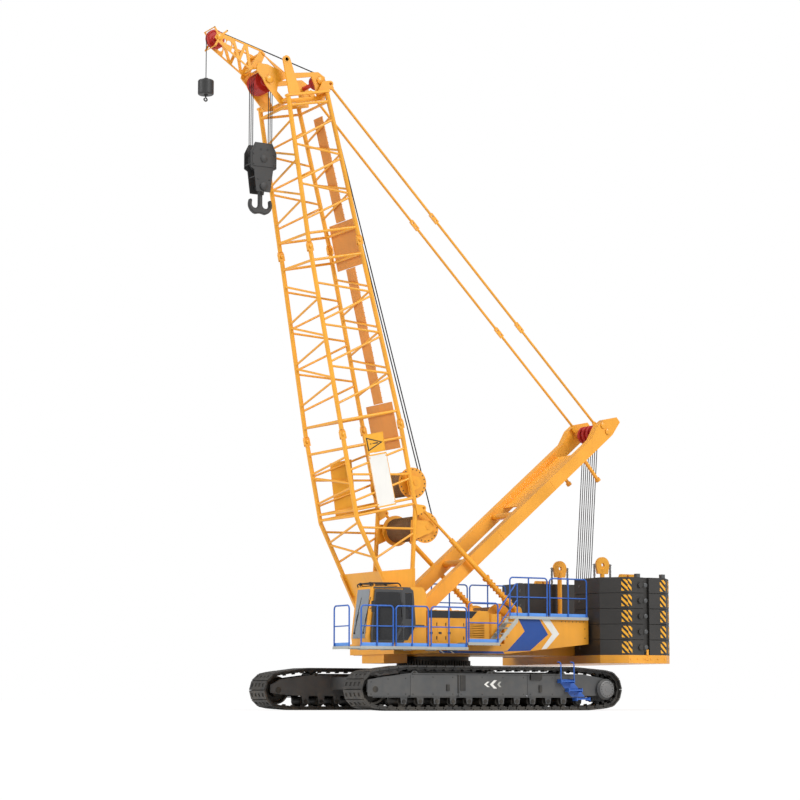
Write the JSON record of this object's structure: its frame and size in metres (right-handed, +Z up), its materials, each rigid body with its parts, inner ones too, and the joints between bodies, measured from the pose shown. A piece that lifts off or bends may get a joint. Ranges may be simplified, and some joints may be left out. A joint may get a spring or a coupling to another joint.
{
  "type": "crawler crane",
  "caption": "Lattice-boom crawler crane that slews, luffs its boom with a mast and stays, and hoists a ramshorn hook block and a ball hook.",
  "frame": {"origin": "on the ground under the slewing axis", "axes": "+X forward along the tracks, +Y to the left, the cab's side, +Z up"},
  "size_m": [15.7498, 7.574, 21.3012],
  "materials": {
    "boom_yellow": "satin",
    "mast_orange": "satin",
    "body_yellow": "satin",
    "sheave_red": "satin",
    "rail_blue": "satin",
    "toe_blue": "satin",
    "deck_grey": "satin",
    "weight_grey": "matte",
    "track_steel": "matte",
    "frame_grey": "satin",
    "hook_grey": "satin",
    "cab_dark": "satin",
    "glass": "gloss",
    "rope": "satin",
    "sign_white": "satin",
    "sign_yellow": "satin",
    "ring_dark": "satin",
    "seat_black": "matte",
    "engine_grey": "matte",
    "walk_brown": "satin",
    "steel": "satin"
  },
  "bodies": {
    "undercarriage": {"track_left": "track_steel", "track_right": "track_steel", "track_frame_left": "frame_grey", "track_frame_right": "frame_grey", "rollers_left": "track_steel", "rollers_right": "track_steel", "final_drive_left": "frame_grey", "final_drive_right": "frame_grey", "access_steps": "rail_blue", "carbody": "frame_grey", "slew_ring": "ring_dark"},
    "upper": {"upper_frame": "body_yellow", "side_bodies": "body_yellow", "houses": "body_yellow", "engine_block": "engine_grey", "cab_shell": "body_yellow", "cab_glass": "glass", "operator_seat": "seat_black", "decks": "deck_grey", "railings": "rail_blue", "toe_boards": "toe_blue", "counterweight_tray": "weight_grey", "counterweight_left": "weight_grey", "counterweight_right": "weight_grey", "counterweight_lifts": "body_yellow", "lift_chains": "steel", "luff_winch": "body_yellow", "luff_block": "sheave_red"},
    "door": {"cab_door": "cab_dark"},
    "boom": {"boom_base": "boom_yellow", "boom_insert": "boom_yellow", "boom_head": "boom_yellow", "head_lugs": "boom_yellow", "guide_sheaves": "sheave_red", "tip_jib": "mast_orange", "boom_walkway": "walk_brown", "sign_white": "sign_white", "signs_yellow": "sign_yellow"},
    "drum_1": {"hoist_drum_1": "boom_yellow"},
    "drum_2": {"hoist_drum_2": "boom_yellow"},
    "head_wheels": {"head_sheaves": "sheave_red"},
    "tip_wheel": {"tip_sheave": "sheave_red"},
    "mast": {"mast_beams": "mast_orange", "mast_cross": "mast_orange"},
    "mast_wheels": {"mast_sheaves": "sheave_red"},
    "stay_bars": {"stays": "boom_yellow"},
    "stop_tubes": {"backstop_tubes": "mast_orange", "backstop_springs": "hook_grey"},
    "stop_rods": {"backstop_rods": "mast_orange"},
    "ropes_low": {"luff_ropes_lower": "rope"},
    "ropes_high": {"luff_ropes_upper": "rope"},
    "falls": {"hoist_falls": "rope"},
    "main_hook": {"hook_block": "hook_grey", "hook_sheaves": "sheave_red", "hook": "hook_grey"},
    "tip_fall": {"aux_fall": "rope"},
    "ball": {"hook_ball": "hook_grey", "ball_hook": "hook_grey"}
  },
  "joints": [
    {"name": "slew", "type": "hinge", "parent": "undercarriage", "child": "upper", "pos_m": [0, 0, 0], "axis": [0, 0, 1], "continuous": true},
    {"name": "boom_luff", "type": "hinge", "parent": "upper", "child": "boom", "pos_m": [1.6, 0, 2.42], "axis": [0, -1, 0], "range_deg": [-47.52, 2.48]},
    {"name": "mast_luff", "type": "hinge", "parent": "upper", "child": "mast", "pos_m": [1.4, 0, 2.8], "axis": [0, -1, 0], "range_deg": [-49.51, 2.6]},
    {"name": "stay_swing", "type": "hinge", "parent": "mast", "child": "stay_bars", "pos_m": [-6.08, 0, 9.48], "axis": [0, -1, 0], "range_deg": [-0.13, 2.09]},
    {"name": "backstop_swing", "type": "hinge", "parent": "upper", "child": "stop_tubes", "pos_m": [-2.4, 0, 3.2], "axis": [0, -1, 0], "range_deg": [-23.18, 1.23]},
    {"name": "backstop_slide", "type": "slide", "parent": "stop_tubes", "child": "stop_rods", "axis": [0.7459, 0, 0.6661], "range_m": [-0.1175, 2.2158]},
    {"name": "rope_swing_low", "type": "hinge", "parent": "upper", "child": "ropes_low", "pos_m": [-5.8, 0, 2.78], "axis": [0, -1, 0], "range_deg": [-39.53, 2.08]},
    {"name": "rope_swing_high", "type": "hinge", "parent": "mast", "child": "ropes_high", "pos_m": [-6.27, 0, 9.28], "axis": [0, -1, 0], "range_deg": [-0.54, 9.99]},
    {"name": "falls_swing", "type": "hinge", "parent": "boom", "child": "falls", "pos_m": [6.38804, 0, 19.79588], "axis": [0, -1, 0], "range_deg": [-2.5, 47.54]},
    {"name": "main_hoist", "type": "slide", "parent": "falls", "child": "main_hook", "axis": [0, 0, -1], "range_m": [0, 15.2]},
    {"name": "tip_fall_swing", "type": "hinge", "parent": "boom", "child": "tip_fall", "pos_m": [8.02094, 0, 20.99125], "axis": [0, -1, 0], "range_deg": [-2.5, 47.54]},
    {"name": "aux_hoist", "type": "slide", "parent": "tip_fall", "child": "ball", "axis": [0, 0, -1], "range_m": [0, 18.2]},
    {"name": "cab_door_slide", "type": "slide", "parent": "upper", "child": "door", "axis": [-1, 0, 0], "range_m": [0, 0.7]},
    {"name": "drum_1_spin", "type": "hinge", "parent": "boom", "child": "drum_1", "pos_m": [1.32261, 0, 7.18247], "axis": [0, 1, 0], "continuous": true},
    {"name": "drum_2_spin", "type": "hinge", "parent": "boom", "child": "drum_2", "pos_m": [0.87041, 0, 5.78723], "axis": [0, 1, 0], "continuous": true},
    {"name": "head_wheel_spin", "type": "hinge", "parent": "boom", "child": "head_wheels", "pos_m": [6.38804, 0, 19.79588], "axis": [0, 1, 0], "continuous": true},
    {"name": "tip_wheel_spin", "type": "hinge", "parent": "boom", "child": "tip_wheel", "pos_m": [8.02094, 0, 20.99125], "axis": [0, 1, 0], "continuous": true},
    {"name": "mast_wheel_spin", "type": "hinge", "parent": "mast", "child": "mast_wheels", "pos_m": [-6.27, 0, 9.28], "axis": [0, 1, 0], "continuous": true}
  ],
  "couplings": [
    {"joint": "mast_luff", "follows": "boom_luff", "ratio": 1.0414},
    {"joint": "stay_swing", "follows": "boom_luff", "ratio": -0.043499},
    {"joint": "backstop_swing", "follows": "boom_luff", "ratio": 0.48742},
    {"joint": "backstop_slide", "follows": "boom_luff", "m_per_rad": -2.6692},
    {"joint": "rope_swing_low", "follows": "boom_luff", "ratio": 0.8315},
    {"joint": "rope_swing_high", "follows": "boom_luff", "ratio": -0.20988},
    {"joint": "falls_swing", "follows": "boom_luff", "ratio": -1},
    {"joint": "tip_fall_swing", "follows": "boom_luff", "ratio": -1}
  ]
}
